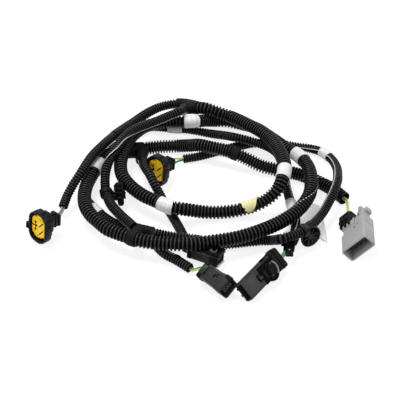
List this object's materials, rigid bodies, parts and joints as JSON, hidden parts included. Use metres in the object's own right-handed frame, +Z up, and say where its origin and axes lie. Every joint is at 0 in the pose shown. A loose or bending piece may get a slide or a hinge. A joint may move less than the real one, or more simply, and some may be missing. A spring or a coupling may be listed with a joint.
{
  "type": "wiring harness",
  "caption": "Coiled vehicle wiring harness in black corrugated conduit, with taped branches, oval lamp plugs, keyed connectors, fixing clips and a bare flag label.",
  "frame": {"origin": "middle of the harness's footprint, on the surface that it lies on", "axes": "+X to the right of the picture, +Y away from the camera, +Z up from the surface that the harness lies on"},
  "size_m": [0.2405, 0.2273, 0.0303],
  "materials": {
    "conduit_black": "corrugated black polyethylene, satin",
    "cloth_tape_black": "black cloth tape, dull",
    "tape_white": "white plastic tape, satin",
    "tape_yellow": "pale yellow paper tape, torn edge",
    "clip_black": "moulded black nylon, satin",
    "housing_black": "moulded black plastic, satin",
    "housing_charcoal": "moulded charcoal plastic, satin",
    "housing_grey": "moulded mid grey plastic, satin",
    "insert_yellow": "moulded yellow plastic, satin",
    "label_white": "bare plastic film label, satin",
    "wire_yellow": "pale yellow wire insulation",
    "wire_white": "off white wire insulation",
    "wire_grey": "grey wire insulation",
    "wire_green": "green wire insulation",
    "wire_lime": "green and yellow wire insulation",
    "wire_blue": "light blue wire insulation",
    "wire_orange": "orange wire insulation",
    "wire_black": "black wire insulation"
  },
  "bodies": {
    "root": {"trunk_conduit_upper_run": "conduit_black", "trunk_conduit_left_bend": "conduit_black", "trunk_conduit_outer_turn": "conduit_black", "trunk_conduit_inner_turn": "conduit_black", "lamp_lead_1_conduit_stout": "conduit_black", "lamp_lead_1_conduit": "conduit_black", "back_lead_conduit": "conduit_black", "long_lead_conduit": "conduit_black", "lamp_lead_2_conduit": "conduit_black", "cross_lead_conduit": "conduit_black", "front_lead_conduit": "conduit_black", "white_tape_left_bend": "tape_white", "white_tape_outer_right": "tape_white", "white_tape_outer_back": "tape_white", "white_tape_butt_joint": "tape_white", "white_tape_inner_right": "tape_white", "yellow_tape": "tape_yellow", "black_tape_upper_run": "cloth_tape_black", "white_tape_long_lead_left": "tape_white", "white_tape_long_lead_back": "tape_white", "white_tape_long_lead_right": "tape_white", "white_tape_lamp_lead_2": "tape_white", "taped_junction_back": "cloth_tape_black", "taped_junction_front": "cloth_tape_black", "taped_junction_end": "cloth_tape_black", "fir_tree_clip_back_lead": "clip_black", "round_clip_lamp_lead_2": "clip_black", "foot_clip_long_lead": "clip_black", "label_flag": "label_white", "lamp_plug_1_housing": "housing_black", "lamp_plug_1_insert": "insert_yellow", "lamp_plug_1_wire_1": "wire_white", "lamp_plug_1_wire_2": "wire_grey", "lamp_plug_2_housing": "housing_black", "lamp_plug_2_insert": "insert_yellow", "lamp_plug_2_wire_1": "wire_yellow", "lamp_plug_2_wire_2": "wire_green", "main_connector_housing": "housing_grey", "main_connector_tongue": "housing_charcoal", "main_connector_wire_cover": "housing_black", "main_connector_wire_1": "wire_yellow", "main_connector_wire_2": "wire_lime", "front_plug_housing": "housing_charcoal", "front_plug_contact_carrier": "housing_black", "front_plug_rear_cap": "housing_black", "front_plug_wire_1": "wire_lime", "front_plug_wire_2": "wire_green", "cross_plug_housing": "housing_charcoal", "cross_plug_contact_carrier": "housing_black", "cross_plug_rear_cap": "housing_black", "cross_plug_wire_1": "wire_black", "cross_plug_wire_2": "wire_grey", "sealed_connector_housing": "housing_charcoal", "sealed_connector_contact_carrier": "housing_black", "sealed_connector_lock": "housing_black", "sealed_connector_rear_flange": "housing_charcoal", "sealed_connector_wire_1": "wire_blue", "sealed_connector_wire_2": "wire_green", "sealed_connector_wire_3": "wire_orange"}
  },
  "joints": []
}
